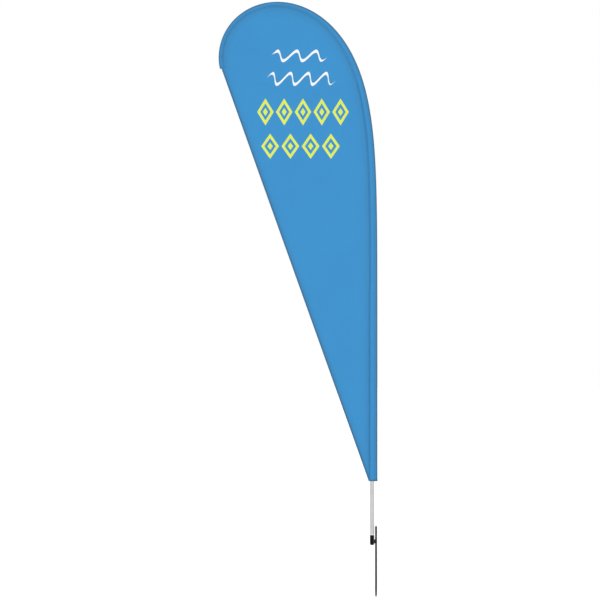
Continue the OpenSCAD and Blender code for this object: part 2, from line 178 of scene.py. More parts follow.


# %% Body and finish of a piece
def finish_piece(made, body, material, replaces=(), sharp=None):
    if sharp is not None:
        made.data.set_sharp_from_angle(angle=math.radians(sharp))
    made.data.materials.clear()
    made.data.materials.append(material)
    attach(made, body)
    if replaces:
        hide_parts(*replaces)
    return made


# %% Sweeps and lathes
def sweep_faces(rings, around, closed_path=False, capped=False):
    """Faces of a skin over rings of points, each ring closed on itself."""
    faces = []
    for i in range(rings if closed_path else rings - 1):
        near, far = i * around, (i + 1) % rings * around
        for j in range(around):
            k = (j + 1) % around
            faces.append((near + j, near + k, far + k, far + j))
    if capped:
        faces.append(tuple(range(around))[::-1])
        faces.append(tuple(range((rings - 1) * around, rings * around)))
    return faces


def lathe(name, outline, centre=(0.0, 0.0), around=48):
    """Turns an outline of (radius, height) points about an upright axis.
    An outline that starts and ends on the axis makes a solid, any other a closed ring."""
    solid = outline[0][0] == 0
    turned = outline[1:-1] if solid else outline
    angles = np.linspace(0, 2 * math.pi, around, endpoint=False)
    points = [(centre[0] + r * math.cos(a), centre[1] + r * math.sin(a), z)
              for r, z in turned for a in angles]
    faces = sweep_faces(len(turned), around, closed_path=not solid)
    if solid:
        for end, ring, order in ((outline[0], 0, 1), (outline[-1], len(turned) - 1, -1)):
            points.append((centre[0], centre[1], end[1]))
            for j in range(around):
                edge = (ring * around + (j + 1) % around, ring * around + j)
                faces.append((len(points) - 1, *edge[::order]))
    return make_mesh(name, points, faces)


# %% Several pieces in one mesh
def join_points(chunks):
    """One list of points and one of faces, from several of each."""
    points, faces = [], []
    for chunk_points, chunk_faces in chunks:
        base = len(points)
        points.extend(chunk_points)
        faces.extend(tuple(base + i for i in face) for face in chunk_faces)
    return points, faces


# %% Thickness and masks of a cloth piece
def thicken(made, thickness, offset):
    """Gives a sheet its thickness: offset 0 on both sides, -1 on the inner side only."""
    wall = made.modifiers.new("cloth thickness", "SOLIDIFY")
    wall.thickness = thickness
    wall.offset = offset


def paint_masks(made, fold=0.0, painted_shade=0.0):
    """Writes the two masks that the cloth finishes read, one value or one for each point."""
    # The fold mask is partly painted shade; the other mask is painted shade alone.
    for name, values in (("fold", fold), ("painted_shade", painted_shade)):
        layer = made.data.attributes.new(name, "FLOAT", "POINT")
        spread = np.broadcast_to(values, len(made.data.vertices))
        layer.data.foreach_set("value", spread.astype(np.float32))


# %% [markdown]
# ## Writing materials in nodes
# A material is a small net of nodes. `Net` keeps the script short: it adds a node, sets
# its inputs by name and joins sockets. Effects that several finishes share, such as the
# knit, fine grain and wear, are node groups with named inputs, so one change reaches all.

# %% A small helper for node nets
class Net:
    def __init__(self, tree):
        self.tree = tree

    def add(self, kind, inputs=None, **settings):
        node = self.tree.nodes.new(kind)
        for name, value in settings.items():
            setattr(node, name, value)
        self.fill(node, inputs or {})
        return node

    def fill(self, node, inputs):
        """Joins each input to a socket, or sets it where it is given a plain value."""
        for name, value in inputs.items():
            if isinstance(value, bpy.types.NodeSocket):
                self.tree.links.new(value, node.inputs[name])
            else:
                node.inputs[name].default_value = value

    def math(self, operation, a, b=0.0):
        return self.add("ShaderNodeMath", {0: a, 1: b}, operation=operation).outputs[0]

    def ramp(self, value, low, high, to_low=0.0, to_high=1.0):
        return self.add("ShaderNodeMapRange", {
            "Value": value, "From Min": low, "From Max": high,
            "To Min": to_low, "To Max": to_high,
        }, interpolation_type="SMOOTHSTEP").outputs["Result"]

    def mix(self, share, a, b):
        return self.add("ShaderNodeMix", {0: share, 6: a, 7: b}, data_type="RGBA").outputs[2]

    def noise(self, vector, scale, detail=2.0):
        return self.add("ShaderNodeTexNoise", {
            "Vector": vector, "Scale": scale, "Detail": detail}).outputs[0]

    def stretch(self, vector, scale):
        return self.add("ShaderNodeVectorMath", {0: vector, 1: scale},
                        operation="MULTIPLY").outputs[0]

    def group(self, group, inputs):
        return self.add("ShaderNodeGroup", inputs, node_tree=group).outputs

    def bump(self, height, strength, distance):
        return self.add("ShaderNodeBump", {
            "Strength": strength, "Distance": distance, "Height": height}).outputs[0]


# %% Groups and colours
def new_group(name, inputs, outputs):
    """An empty node group, its Net, and its input node's sockets."""
    group = bpy.data.node_groups.new(name, "ShaderNodeTree")
    for socket, kind in inputs.items():
        group.interface.new_socket(socket, in_out="INPUT", socket_type="NodeSocket" + kind)
    for socket, kind in outputs.items():
        group.interface.new_socket(socket, in_out="OUTPUT", socket_type="NodeSocket" + kind)
    net = Net(group)
    return group, net, net.add("NodeGroupInput").outputs


def close_group(net, values):
    net.add("NodeGroupOutput", values)


def linear(red, green, blue):
    """A colour as a screen shows it, 0 to 255, in the linear values that nodes take."""
    def one(c):
        c /= 255
        return c / 12.92 if c <= 0.04045 else ((c + 0.055) / 1.055) ** 2.4
    return (one(red), one(green), one(blue), 1.0)


def tinted(colour, times, more=0.0):
    """A lighter or darker form of a colour."""
    return tuple(min(1.0, c * times + more) for c in colour[:3]) + (1.0,)


# %% [markdown]
# ## Shared effects
# Knit: flag cloth is warp-knitted, so its face is a fine mesh of slanted stitches about
# one and a half millimetres apart. An image could show it, but two crossed sine waves give
# the same rows at any distance and never repeat at a border.
# Grain: every real surface differs a little from place to place. One noise, coarse and
# fine, does for metal, plastic and rubber, with its own scale in each.
# Wear: paint goes first at ends that are struck, pushed in or handled. A height band with
# a ragged edge marks them.

# %% Knit
KNIT, net, given = new_group(
    "knit", {"Vector": "Vector", "Pitch": "Float"}, {"Height": "Float", "Shade": "Float"})
across = net.add("ShaderNodeSeparateXYZ", {0: given["Vector"]}).outputs
turns = net.math("DIVIDE", 2 * math.pi, given["Pitch"])
slant = net.math("ADD", across["X"], net.math("MULTIPLY", across["Z"], 0.35))
wales = net.math("SINE", net.math("MULTIPLY", slant, turns))
courses = net.math("SINE", net.math("MULTIPLY", across["Z"], net.math("MULTIPLY", turns, 1.3)))
loops = net.math("MULTIPLY", wales, courses)
close_group(net, {
    "Height": net.math("ADD", net.math("MULTIPLY", loops, 0.5), 0.5),
    "Shade": net.ramp(loops, -1.0, 1.0),
})

# %% Grain
GRAIN, net, given = new_group(
    "grain", {"Vector": "Vector", "Scale": "Float"}, {"Coarse": "Float", "Fine": "Float"})
close_group(net, {
    "Coarse": net.noise(given["Vector"], given["Scale"], 3.0),
    "Fine": net.noise(given["Vector"], net.math("MULTIPLY", given["Scale"], 14.0), 2.0),
})

# %% Wear
WEAR, net, given = new_group(
    "wear", {"Vector": "Vector", "Clean at": "Float", "Worn at": "Float", "Spot scale": "Float"},
    {"Mask": "Float"})
height = net.add("ShaderNodeSeparateXYZ", {0: given["Vector"]}).outputs["Z"]
nearness = net.add("ShaderNodeMapRange", {
    "Value": height, "From Min": given["Clean at"], "From Max": given["Worn at"],
}).outputs["Result"]
spots = net.noise(given["Vector"], given["Spot scale"], 4.0)
close_group(net, {"Mask": net.ramp(net.math("ADD", nearness, spots), 1.05, 1.25)})
print("shared effects:", [g.name for g in bpy.data.node_groups])


# %% [markdown]
# ## The print
# The cloth is dyed blue and printed through, so the picture shows on both faces. It could
# be an image on the mesh, but a drawn one stays sharp and needs no file: two white brushed
# waves above two rows of yellow diamonds, each a distance from a line in the cloth's own
# x and z. Smooth steps at the borders keep the edges soft, as ink in a knit is.

# %% Waves and diamonds
INK_EDGE = 1.5 * MM
PRINT, net, given = new_group(
    "printed_motif", {"Vector": "Vector"}, {"White": "Float", "Yellow": "Float"})
cloth = net.add("ShaderNodeSeparateXYZ", {0: given["Vector"]}).outputs


def within(net, value, half_width):
    """1 where the value is within half_width of zero, with an ink edge."""
    size = net.math("ABSOLUTE", value)
    return net.ramp(net.math("SUBTRACT", size, half_width), INK_EDGE / 2, -INK_EDGE / 2)


# %% A brushed wave
def wave_row(net, cloth, left, right, z, swing, count):
    """A slanted brush stroke that rises and falls count times between left and right."""
    up = net.math("SUBTRACT", cloth["Z"], z)
    along = net.math("SUBTRACT", cloth["X"], net.math("MULTIPLY", up, 0.4))
    share = net.math("DIVIDE", net.math("SUBTRACT", along, left), right - left)
    phase = net.math("MULTIPLY", share, 2 * math.pi * count)
    crest = net.math("MULTIPLY", net.math("SINE", phase), swing)
    brush = net.math("ADD", net.math("MULTIPLY", net.math("COSINE", phase), 3 * MM), 8 * MM)
    ends = net.math("MULTIPLY", net.ramp(share, 0.0, 0.08), net.ramp(share, 1.0, 0.86))
    inside = within(net, net.math("SUBTRACT", up, crest), net.math("MULTIPLY", brush, ends))
    return net.math("MULTIPLY", inside, net.math("GREATER_THAN", ends, 0.02))


# %% A row of diamonds
def diamond_row(net, cloth, left, right, z, half_height, count, stroke):
    """Outlines of diamonds side by side, each with a small filled one in its middle."""
    pitch = (right - left) / count
    shifted = net.math("SUBTRACT", cloth["X"], left)
    local = net.math("SUBTRACT", net.math("FLOORED_MODULO", shifted, pitch), pitch / 2)
    half_width = pitch * 0.44
    up = net.math("ABSOLUTE", net.math("SUBTRACT", cloth["Z"], z))
    reach = net.math("ADD", net.math("DIVIDE", net.math("ABSOLUTE", local), half_width),
                     net.math("DIVIDE", up, half_height))
    steepness = half_width * half_height / math.hypot(half_width, half_height)
    depth = net.math("MULTIPLY", net.math("SUBTRACT", 1.0, reach), steepness)
    outline = within(net, net.math("SUBTRACT", depth, stroke / 2), stroke / 2)
    core = net.ramp(reach, 0.32, 0.28)
    middle = net.math("SUBTRACT", cloth["X"], (left + right) / 2)
    return net.math("MULTIPLY", net.math("MAXIMUM", outline, core),
                    within(net, middle, (right - left) / 2))


# %% The whole print
waves = [
    wave_row(net, cloth, -531 * MM, -240 * MM, 2478 * MM, 24 * MM, 3),
    wave_row(net, cloth, -556 * MM, -196 * MM, 2362 * MM, 28 * MM, 4),
]
diamonds = [
    diamond_row(net, cloth, -606 * MM, -132 * MM, 2195 * MM, 68 * MM, 5, 13 * MM),
    diamond_row(net, cloth, -586 * MM, -177 * MM, 2022 * MM, 64 * MM, 4, 13 * MM),
]
close_group(net, {"White": net.math("MAXIMUM", *waves), "Yellow": net.math("MAXIMUM", *diamonds)})

# %% [markdown]
# ## Cloth
# One recipe makes every cloth finish. A knit has a rough base, a weak broad highlight and
# a soft sheen where it is seen edge on. The base colour varies a little with the knit and
# with the dye. Two painted masks on the points pull it towards a deeper blue. The fold mask
# marks where the cloth lies in several layers, and also paints shade along the sleeve's
# rounded rim and its seam. The other mask is painted shade alone: it darkens the panel
# beside the seam and the hem, and the sleeve and its pocket, most towards the tip.

# %% Cloth materials
DYE_BLUE = linear(60, 148, 208)
SLEEVE_BLUE = linear(59, 148, 208)
# A deep blue: the colour of layered cloth, and also painted shade along folds, seams and hems.
LAYERED_AND_SHADED_BLUE = linear(62, 117, 156)
INK_WHITE = linear(250, 252, 252)
INK_YELLOW = linear(230, 243, 92)
KNIT_PITCH = 1.5 * MM


def new_material(name):
    material = bpy.data.materials.new(name)
    material.use_nodes = True
    net = Net(material.node_tree)
    shader = material.node_tree.nodes["Principled BSDF"]
    where = net.add("ShaderNodeTexCoord").outputs["Object"]
    return material, net, shader, where


# %% Cloth recipe
def cloth_material(name, colour, layered_and_shaded_colour, printed=False):
    material, net, shader, where = new_material(name)
    knit = net.group(KNIT, {"Vector": where, "Pitch": KNIT_PITCH})
    dye = net.group(GRAIN, {"Vector": where, "Scale": 3.0})
    # The fold mask pulls the colour towards the deep blue for layered cloth and as painted shade; the
    # other mask is painted shade alone.
    fold = net.add("ShaderNodeAttribute", attribute_name="fold").outputs["Fac"]
    painted_shade = net.add("ShaderNodeAttribute", attribute_name="painted_shade").outputs["Fac"]
    base = net.mix(fold, colour, layered_and_shaded_colour)
    base = net.mix(net.math("MULTIPLY", painted_shade, 0.55), base, layered_and_shaded_colour)
    if printed:
        ink = net.group(PRINT, {"Vector": where})
        base = net.mix(ink["White"], base, INK_WHITE)
        base = net.mix(ink["Yellow"], base, INK_YELLOW)
    tone = net.math("MULTIPLY", net.ramp(knit["Shade"], 0.0, 1.0, 0.97, 1.02),
                    net.ramp(dye["Coarse"], 0.3, 0.7, 0.985, 1.01))
    shaded = net.add("ShaderNodeVectorMath", {0: base, "Scale": tone}, operation="SCALE")
    net.fill(shader, {
        "Base Color": shaded.outputs[0],
        "Roughness": net.ramp(knit["Height"], 0.0, 1.0, 0.86, 0.72),
        "Normal": net.bump(knit["Height"], 0.25, 0.15 * MM),
        "Specular IOR Level": 0.25, "Sheen Weight": 0.12, "Sheen Roughness": 0.5,
    })
    return material


# %% The three cloths
PANEL_CLOTH = cloth_material("printed_panel_cloth", DYE_BLUE, LAYERED_AND_SHADED_BLUE, printed=True)
SLEEVE_CLOTH = cloth_material("sleeve_cloth", SLEEVE_BLUE, LAYERED_AND_SHADED_BLUE)
# The hems' own blue is the deep blue: layered cloth, and painted shade along the edges.
HEM_CLOTH = cloth_material("folded_hem_cloth", LAYERED_AND_SHADED_BLUE, linear(48, 96, 134))
print("cloths:", [m.name for m in (PANEL_CLOTH, SLEEVE_CLOTH, HEM_CLOTH)])

# %% [markdown]
# ## Metal, plastic and rubber
# The pole's tube is drawn aluminium with a silver anodised skin, so it has fine lines
# along its length. The spike and the housing are powder coated: a pebbled black paint,
# rubbed to grey steel where the spike is hammered and where it enters the ground. The
# spindle is turned steel, with faint rings from the lathe. Each recipe below is one
# Principled shader whose roughness and bump come from the shared effects.

# %% Drawn tube
def stretched_grain(net, where, scale):
    """Noise drawn out along one axis, as a die or a lathe tool leaves it."""
    return net.noise(net.stretch(where, scale), 1.0, 3.0)


def tube_material():
    material, net, shader, where = new_material("drawn_aluminium")
    lines = stretched_grain(net, where, (1800.0, 1800.0, 9.0))
    grain = net.group(GRAIN, {"Vector": where, "Scale": 25.0})
    scuffs = net.group(WEAR, {"Vector": where, "Clean at": 0.085, "Worn at": 0.055,
                              "Spot scale": 500.0})["Mask"]
    base = net.mix(net.ramp(grain["Coarse"], 0.35, 0.65), linear(214, 215, 213),
                   linear(222, 222, 220))
    rough = net.ramp(lines, 0.3, 0.7, 0.30, 0.42)
    net.fill(shader, {
        "Base Color": net.mix(scuffs, base, linear(190, 190, 188)),
        "Roughness": net.math("ADD", rough, net.math("MULTIPLY", scuffs, 0.15)),
        "Normal": net.bump(lines, 0.15, 0.02 * MM),
        "Metallic": 0.65,
    })
    return material


# %% Powder coat
def coated_material(name, colour, wear_bands=(), roughness=0.5):
    """Powder coat. Each wear band is (clean height, worn height)."""
    material, net, shader, where = new_material(name)
    grain = net.group(GRAIN, {"Vector": where, "Scale": 60.0})
    bare = 0.0
    for clean, worn in wear_bands:
        mask = net.group(WEAR, {"Vector": where, "Clean at": clean, "Worn at": worn,
                                "Spot scale": 320.0})["Mask"]
        bare = net.math("MAXIMUM", mask, bare)
    paint = net.mix(net.ramp(grain["Coarse"], 0.3, 0.7), colour, tinted(colour, 1.5, 0.002))
    rough = net.ramp(grain["Fine"], 0.3, 0.7, roughness - 0.05, roughness + 0.1)
    net.fill(shader, {
        "Base Color": paint, "Roughness": rough, "Specular IOR Level": 0.12,
        "Normal": net.bump(grain["Fine"], 0.2, 0.05 * MM),
    })
    if wear_bands:
        net.fill(shader, {
            "Base Color": net.mix(bare, paint, linear(126, 124, 122)),
            "Metallic": net.math("MULTIPLY", bare, 0.9),
            "Roughness": net.math("ADD", rough, net.math("MULTIPLY", bare, 0.08)),
        })
    return material


# %% Turned metal
def turned_material(name, colour, roughness, metallic=1.0):
    """Metal from a lathe or a grinder: faint rings round the upright axis."""
    material, net, shader, where = new_material(name)
    rings = stretched_grain(net, where, (30.0, 30.0, 6000.0))
    grain = net.group(GRAIN, {"Vector": where, "Scale": 90.0})
    net.fill(shader, {
        "Base Color": net.mix(net.ramp(grain["Coarse"], 0.35, 0.7), colour, tinted(colour, 0.82)),
        "Roughness": net.ramp(rings, 0.3, 0.7, roughness, roughness + 0.12),
        "Normal": net.bump(rings, 0.12, 0.02 * MM),
        "Metallic": metallic,
    })
    return material


# %% Plastic, rubber and glass fibre
def moulded_material(name, colour, roughness, scale=120.0, sheen=0.0):
    """Plastic, rubber or glass fibre, with the fine texture of its mould."""
    material, net, shader, where = new_material(name)
    grain = net.group(GRAIN, {"Vector": where, "Scale": scale})
    lighter = tinted(colour, 1.12, 0.004)
    net.fill(shader, {
        "Base Color": net.mix(net.ramp(grain["Coarse"], 0.3, 0.7), colour, lighter),
        "Roughness": net.ramp(grain["Fine"], 0.3, 0.7, roughness - 0.06, roughness + 0.08),
        "Normal": net.bump(grain["Fine"], 0.15, 0.04 * MM),
        "Specular IOR Level": 0.4, "Sheen Weight": sheen,
    })
    return material


# %% The hard finishes
TUBE = tube_material()
SPIKE_PAINT = coated_material("spike_powder_coat", linear(14, 14, 15),
                              [(0.094, 0.108), (-0.19, -0.262)])
HOUSING_PAINT = coated_material("housing_powder_coat", linear(4, 4, 5))
LINK_PAINT = coated_material("link_powder_coat", linear(48, 47, 52), roughness=0.55)
BEARING_STEEL = turned_material("polished_bearing_steel", linear(224, 226, 229), 0.12)
ZINC = turned_material("zinc_plated_steel", linear(198, 200, 202), 0.26)
CAGE_STEEL = turned_material("pressed_strip_steel", linear(182, 182, 182), 0.34)
CLIP_STEEL = turned_material("phosphated_spring_steel", linear(66, 66, 68), 0.42, 0.8)
NYLON = moulded_material("white_nylon", linear(232, 232, 229), 0.4)
RUBBER = moulded_material("black_nitrile_rubber", linear(30, 30, 31), 0.62, 200.0)
CAP_RUBBER = moulded_material("soft_cap_rubber", linear(34, 34, 35), 0.7, 150.0)
HOOK_NYLON = moulded_material("black_moulded_nylon", linear(36, 36, 37), 0.48)
GLASS_FIBRE = moulded_material("pultruded_glass_fibre", linear(38, 39, 42), 0.28, 40.0)
print(len(bpy.data.materials), "materials so far")

# %% [markdown]
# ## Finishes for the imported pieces
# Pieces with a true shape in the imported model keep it, and only take a finish. Nothing is
# gained by modelling a bearing race a second time.

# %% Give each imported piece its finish
PACKED_FINISHES = (
    (BEARING_STEEL, "lower_outer_race upper_outer_race lower_inner_race upper_inner_race"),
    (BEARING_STEEL, "lower_bearing_balls upper_bearing_balls shim_washer"),
    (CAGE_STEEL, "lower_ball_cage upper_ball_cage"),
    (ZINC, "spindle_shaft inner_spacer hook_rivets"),
    (RUBBER, "dust_seal lower_o_ring upper_o_ring"),
    (TUBE, "tube_reducer lower_ferrule upper_ferrule"),
    (GLASS_FIBRE, "mid_rod upper_rod tip_rod"),
    (LINK_PAINT, "spike_link"), (HOUSING_PAINT, "bearing_housing"),
    (CLIP_STEEL, "retaining_clip"), (CAP_RUBBER, "tip_cap"),
    (HOOK_NYLON, "tension_hook"), (NYLON, "thrust_collar"),
)
packed_count = 0
for finish, names in PACKED_FINISHES:
    for node_name in names.split():
        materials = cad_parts[node_name].data.materials
        materials.clear()
        materials.append(finish)
        packed_count += 1
print(packed_count, "packed pieces keep their shape")

# %% [markdown]
# ## The panel's net
# The cloth is one flat piece, cut to the curve of the seam and the straight line of the
# trailing edge. A plain grid would leave steps along both. Instead the outline's own
# points and a grid inside it are joined into triangles, with closer rows beside the seam
# and the hem, because that is where sewn cloth puckers and needs points to bend.

# %% Borders of the panel
TUCK = 3 * MM         # how far the panel reaches in between the sleeve's two layers
HEM_INSET = 1 * MM    # how far the panel's cut edge stays inside its hem's outer edge
EDGE_PITCH = 7 * MM
GRID_PITCH = 15 * MM
SEAM_ROWS = (4, 11, 20, 32)
HEM_ROWS = (13, 21, 32)
GRID_START = 40 * MM  # from here on, the even grid takes over from the rows

seam_t = np.linspace(MOUTH_T, 0, int(MOUTH_T / EDGE_PITCH))
seam_line = seam_point(seam_t)[:, [0, 2]]
tucked_line = seam_point(seam_t, TUCK)[:, [0, 2]]


def trailing_points(inwards):
    """Points along the straight edge, from the tip, at a distance inside it."""
    start, end = 0.0, trailing_length
    if inwards:
        pocket_way = seam_line[-1] - tip_corner
        pocket_way /= np.linalg.norm(pocket_way)
        top = tip_corner + pocket_way * inwards / (pocket_way @ trailing_in)
        start = (top - tip_corner) @ trailing_way
        side = tip_corner + trailing_in * inwards
        end = (SEAM_X - side[0]) / trailing_way[0]
    count = int((end - start) / EDGE_PITCH)
    along = np.linspace(start, end, count)[:, None]
    return tip_corner + trailing_in * inwards + trailing_way * along


# %% Rows and grid
def distances(points):
    """Each point's distance from the seam and from the straight edge."""
    trailing = (points - tip_corner) @ trailing_in
    seam = np.empty(len(points))
    for i in range(0, len(points), 500):
        gap = points[i:i + 500, None, :] - seam_line[None, :, :]
        seam[i:i + 500] = np.sqrt((gap ** 2).sum(-1)).min(1)
    return seam, trailing


hem_line = trailing_points(HEM)
outline = np.concatenate([tucked_line, trailing_points(HEM_INSET)[:-1]])
rows = [seam_point(seam_t, -d * MM)[:, [0, 2]] for d in SEAM_ROWS]
rows += [trailing_points(d * MM) for d in HEM_ROWS]
grid_x = np.arange(-0.80, 0.0, GRID_PITCH)
grid_z = np.arange(MOUTH_Z, 2.76, GRID_PITCH)
grid = np.stack(np.meshgrid(grid_x, grid_z), -1).reshape(-1, 2)
grid[:, 0] += np.where(np.arange(len(grid)) // len(grid_x) % 2, GRID_PITCH / 2, 0)
to_seam, to_edge = distances(grid)
grid = grid[(to_seam > GRID_START) & (to_edge > GRID_START)]


# %% Join the points into triangles
def inside_outline(points):
    """True for each point inside the cloth's outline: an odd number of borders to its right."""
    x, z = points[:, 0, None], points[:, 1, None]
    ax, az = outline[:, 0], outline[:, 1]
    bx, bz = np.roll(ax, -1), np.roll(az, -1)
    crosses = (az > z) != (bz > z)
    with np.errstate(divide="ignore", invalid="ignore"):
        crossing_x = ax + (z - az) / (bz - az) * (bx - ax)
    return (crosses & (x < crossing_x)).sum(1) % 2 == 1


inner = np.concatenate(rows + [grid])
to_seam, to_edge = distances(inner)
inner = inner[inside_outline(inner) & (to_edge > 9 * MM) & (to_seam > 2 * MM)]
flat_points = np.concatenate([outline, hem_line, inner])
loop = [(i, (i + 1) % len(outline)) for i in range(len(outline))]
hem_start = len(outline)
crease = [(hem_start + i, hem_start + i + 1) for i in range(len(hem_line) - 1)]
net_points, _, triangles, _, _, _ = delaunay_2d_cdt(
    [Vector(p) for p in flat_points], loop + crease, [], 1, 1e-6)
net_points = np.array([tuple(p) for p in net_points])

# %% [markdown]
# ## How the cloth stands
# The bent pole pulls the cloth taut, so it is nearly flat. What is left is small: a slow
# belly where the wind leans on it, faint folds that fan out from the two corners, where
# the pull comes together, and puckers a few centimetres long beside each row of stitches.
# The heights add up from these parts, and each fades to nothing at the seam.

# %% Folds and puckers
BELLY = 6 * MM
FOLD_HEIGHT = 2.0 * MM
PUCKER = 0.55 * MM


def ease(value, low, high):
    share = np.clip((value - low) / (high - low), 0, 1)
    return share * share * (3 - 2 * share)


def fan(points, corner, folds, reach, turn):
    """Folds that spread from a corner like the sticks of a fan."""
    gap = points - corner
    far = np.linalg.norm(gap, axis=1)
    angle = np.arctan2(gap[:, 1], gap[:, 0])
    wave = np.sin(folds * angle + turn) + 0.5 * np.sin(1.7 * folds * angle + 2 * turn)
    return wave * ease(far, 0.02, 0.2) * np.exp(-far / reach)


def puckers(along, pitch, turn):
    """Uneven little waves along a row of stitches, from -1 to 1."""
    phase = along / pitch * 2 * math.pi
    return (np.sin(phase + turn + 1.5 * np.sin(phase / 5.3))
            * (0.65 + 0.35 * np.sin(phase / 3.7 + turn)))


# %% Height of the cloth out of its plane
def cloth_height(points):
    to_seam, to_edge = distances(points)
    free = ease(to_seam, 0.0, 0.22)
    slow = np.sin(points[:, 1] * 2.1 + 0.4) + 0.4 * np.sin(points[:, 0] * 5 + points[:, 1] * 3)
    belly = BELLY * free * slow
    corner_fade = ease(np.linalg.norm(points - tip_corner, axis=1), 0.0, 0.3)
    corner_fade *= ease(np.linalg.norm(points - mouth_corner, axis=1), 0.0, 0.3)
    folds = fan(points, mouth_corner, 38, 0.9, 0.7) + fan(points, tip_corner, 13, 0.5, 2.0)
    near_seam = np.exp(-to_seam / (28 * MM)) * ease(to_seam, 0.0, 8 * MM)
    near_edge = np.exp(-to_edge / (20 * MM))
    along_edge = (points - tip_corner) @ trailing_way
    small = puckers(points[:, 1] + points[:, 0], 34 * MM, 0.3) * near_seam
    small += puckers(along_edge, 27 * MM, 1.9) * near_edge * 0.8
    return belly * corner_fade + FOLD_HEIGHT * folds * free + PUCKER * small * corner_fade


# %% The panel
def stand_up(points, height):
    return np.stack([points[:, 0], height, points[:, 1]], -1)


height = cloth_height(net_points)
height[:len(tucked_line)] = 0
panel = make_mesh("flag_panel_cloth", stand_up(net_points, height), triangles)
to_seam, to_edge = distances(net_points)
# Painted shadow: the panel darkens beside the seam and beside the hem.
SEAM_SHADE, EDGE_SHADE = 22 * MM, 11 * MM
seam_shadow = 0.55 * np.exp(-(to_seam / SEAM_SHADE) ** 1.5)
edge_shadow = 0.9 * np.exp(-((to_edge - HEM).clip(0) / EDGE_SHADE) ** 1.3)
paint_masks(panel, painted_shade=np.maximum(seam_shadow, edge_shadow))
thicken(panel, 0.4 * MM, 0)
finish_piece(panel, "flag_and_pole", PANEL_CLOTH, ["flag_panel"])
print("cloth stands", (height.min() / MM).round(1), "to", (height.max() / MM).round(1), "mm")

# %% [markdown]
# ## The sleeve
# The sleeve is the same cloth folded round the pole. It is flat where its two layers are
# sewn together, at the panel and along its outer fold, and it lies round the pole between
# them, like a sheet pulled over a bar. Its section is worked out from the pole's own
# radius at each place, so the joints between the pole's sections show as faint steps.

# %% The pole's radius inside the sleeve
POLE_RADII = ((3000, 10.0), (2184, 10.0), (2182, 8.6), (2159, 8.6), (2150, 7.1),
              (1290, 7.1), (1282, 8.4), (1118, 8.4), (1110, 4.9), (525, 4.9),
              (521, 6.2), (439, 6.2), (434, 3.2), (45, 3.2), (40, 4.1), (12, 4.1))
SNUG = 1.1 * MM


def padded_radius(t):
    """Radius of the sleeve's round part: the pole's, smoothed as cloth bridges steps."""
    known_t = np.array([k * MM for k, _ in POLE_RADII])[::-1]
    known_r = np.array([r * MM for _, r in POLE_RADII])[::-1]
    spread = np.linspace(-25 * MM, 25 * MM, 9)
    values = [np.interp(t + s, known_t, known_r) for s in spread]
    return np.maximum(np.mean(values, axis=0), values[4]) + SNUG


# %% The sleeve's section
FIN = 6 * MM          # flat stretch along the outer fold
FLANGE = 6 * MM       # flat stretch along the seam
FIN_HALF = 0.6 * MM
FLANGE_HALF = 0.85 * MM
ROUND_STEPS = 9


def sleeve_section(t, out=0.0, into=0.0, extra=0.0, pinch=1.0):
    """(u, v, fold) round the sleeve at t, counted from the outer fold. out widens the
    outer edge and into the seam's, extra thickens the section and pinch flattens it."""
    edge, seam = float(outer_at(t)) + out, float(inner_at(t)) + into
    r = float(padded_radius(t))
    r = min(r, edge - 1.5 * MM, seam - 1.5 * MM)
    fin_u = max(edge - FIN, r + 0.5 * MM)
    flange_u = min(-(seam - FLANGE), -(r + 0.3 * MM))
    first = math.acos(min(1.0, r / fin_u))
    last = math.pi - math.acos(min(1.0, r / -flange_u))
    # Third value: the fold mask. It is 1 on the flat fin, where two layers lie, and the deep blue
    # there is also painted shade of the rounded outer edge.
    half = [(edge, FIN_HALF * 0.5, 1.0), (edge - 0.4 * MM, FIN_HALF, 1.0),
            (fin_u + 0.3 * MM, FIN_HALF, 1.0), (fin_u - 0.6 * MM, FIN_HALF + 0.25 * MM, 0.35)]
    for a in np.linspace(first, last, ROUND_STEPS):
        u = r * math.cos(a)
        # Painted shade: the round part darkens as it nears the outer edge.
        painted_rim_shade = 0.9 * min(max((u - edge + 6 * MM) / (3 * MM), 0.0), 1.0)
        half.append((u, max(r * math.sin(a), FIN_HALF + 0.3 * MM), painted_rim_shade))
    # Along the seam the mask stands for the sewn layers and for painted seam shade, stronger near the
    # tip.
    layers_and_seam_shade = 0.25 + 0.15 * math.exp(-(t / (600 * MM)) ** 2)
    half += [(flange_u + 0.5 * MM, FLANGE_HALF + 0.15 * MM, layers_and_seam_shade * 0.5),
             (flange_u, FLANGE_HALF, layers_and_seam_shade), (-seam + 0.3 * MM, FLANGE_HALF, layers_and_seam_shade),
             (-seam, FLANGE_HALF * 0.5, layers_and_seam_shade + 0.05)]
    upper = [(u, v * pinch + extra, fold) for u, v, fold in half]
    lower = [(u, -v, fold) for u, v, fold in upper[::-1]]
    return np.array(upper + lower)


SECTION_POINTS = len(sleeve_section(1.0))


# %% Fine waves in the sleeve
def sleeve_wrinkle(t, section):
    """Small waves where the cloth is eased round the bow, strongest beside the seam."""
    tightness = 0.35 + 0.65 * math.exp(-(t / BEND_FADE) ** 2)
    side = np.exp(-((section[:, 0] + inner_at(t) * 0.55) / (5 * MM)) ** 2)
    wave = puckers(np.full(len(section), t), 21 * MM, 0.8)
    slow = 0.5 * np.sin(t / (90 * MM) + section[:, 0] / (7 * MM))
    return (wave * side + slow * 0.5) * tightness * 0.4 * MM * np.sign(section[:, 1])


def sleeve_rings(ts, **options):
    points, folds = [], []
    for t in ts:
        section = sleeve_section(t, **options)
        round_part = section[:, 2] == 0
        v = section[:, 1] + np.where(round_part, sleeve_wrinkle(t, section), 0)
        points.append(place(t, section[:, 0], v))
        folds.append(section[:, 2])
    return np.concatenate(points), np.concatenate(folds)


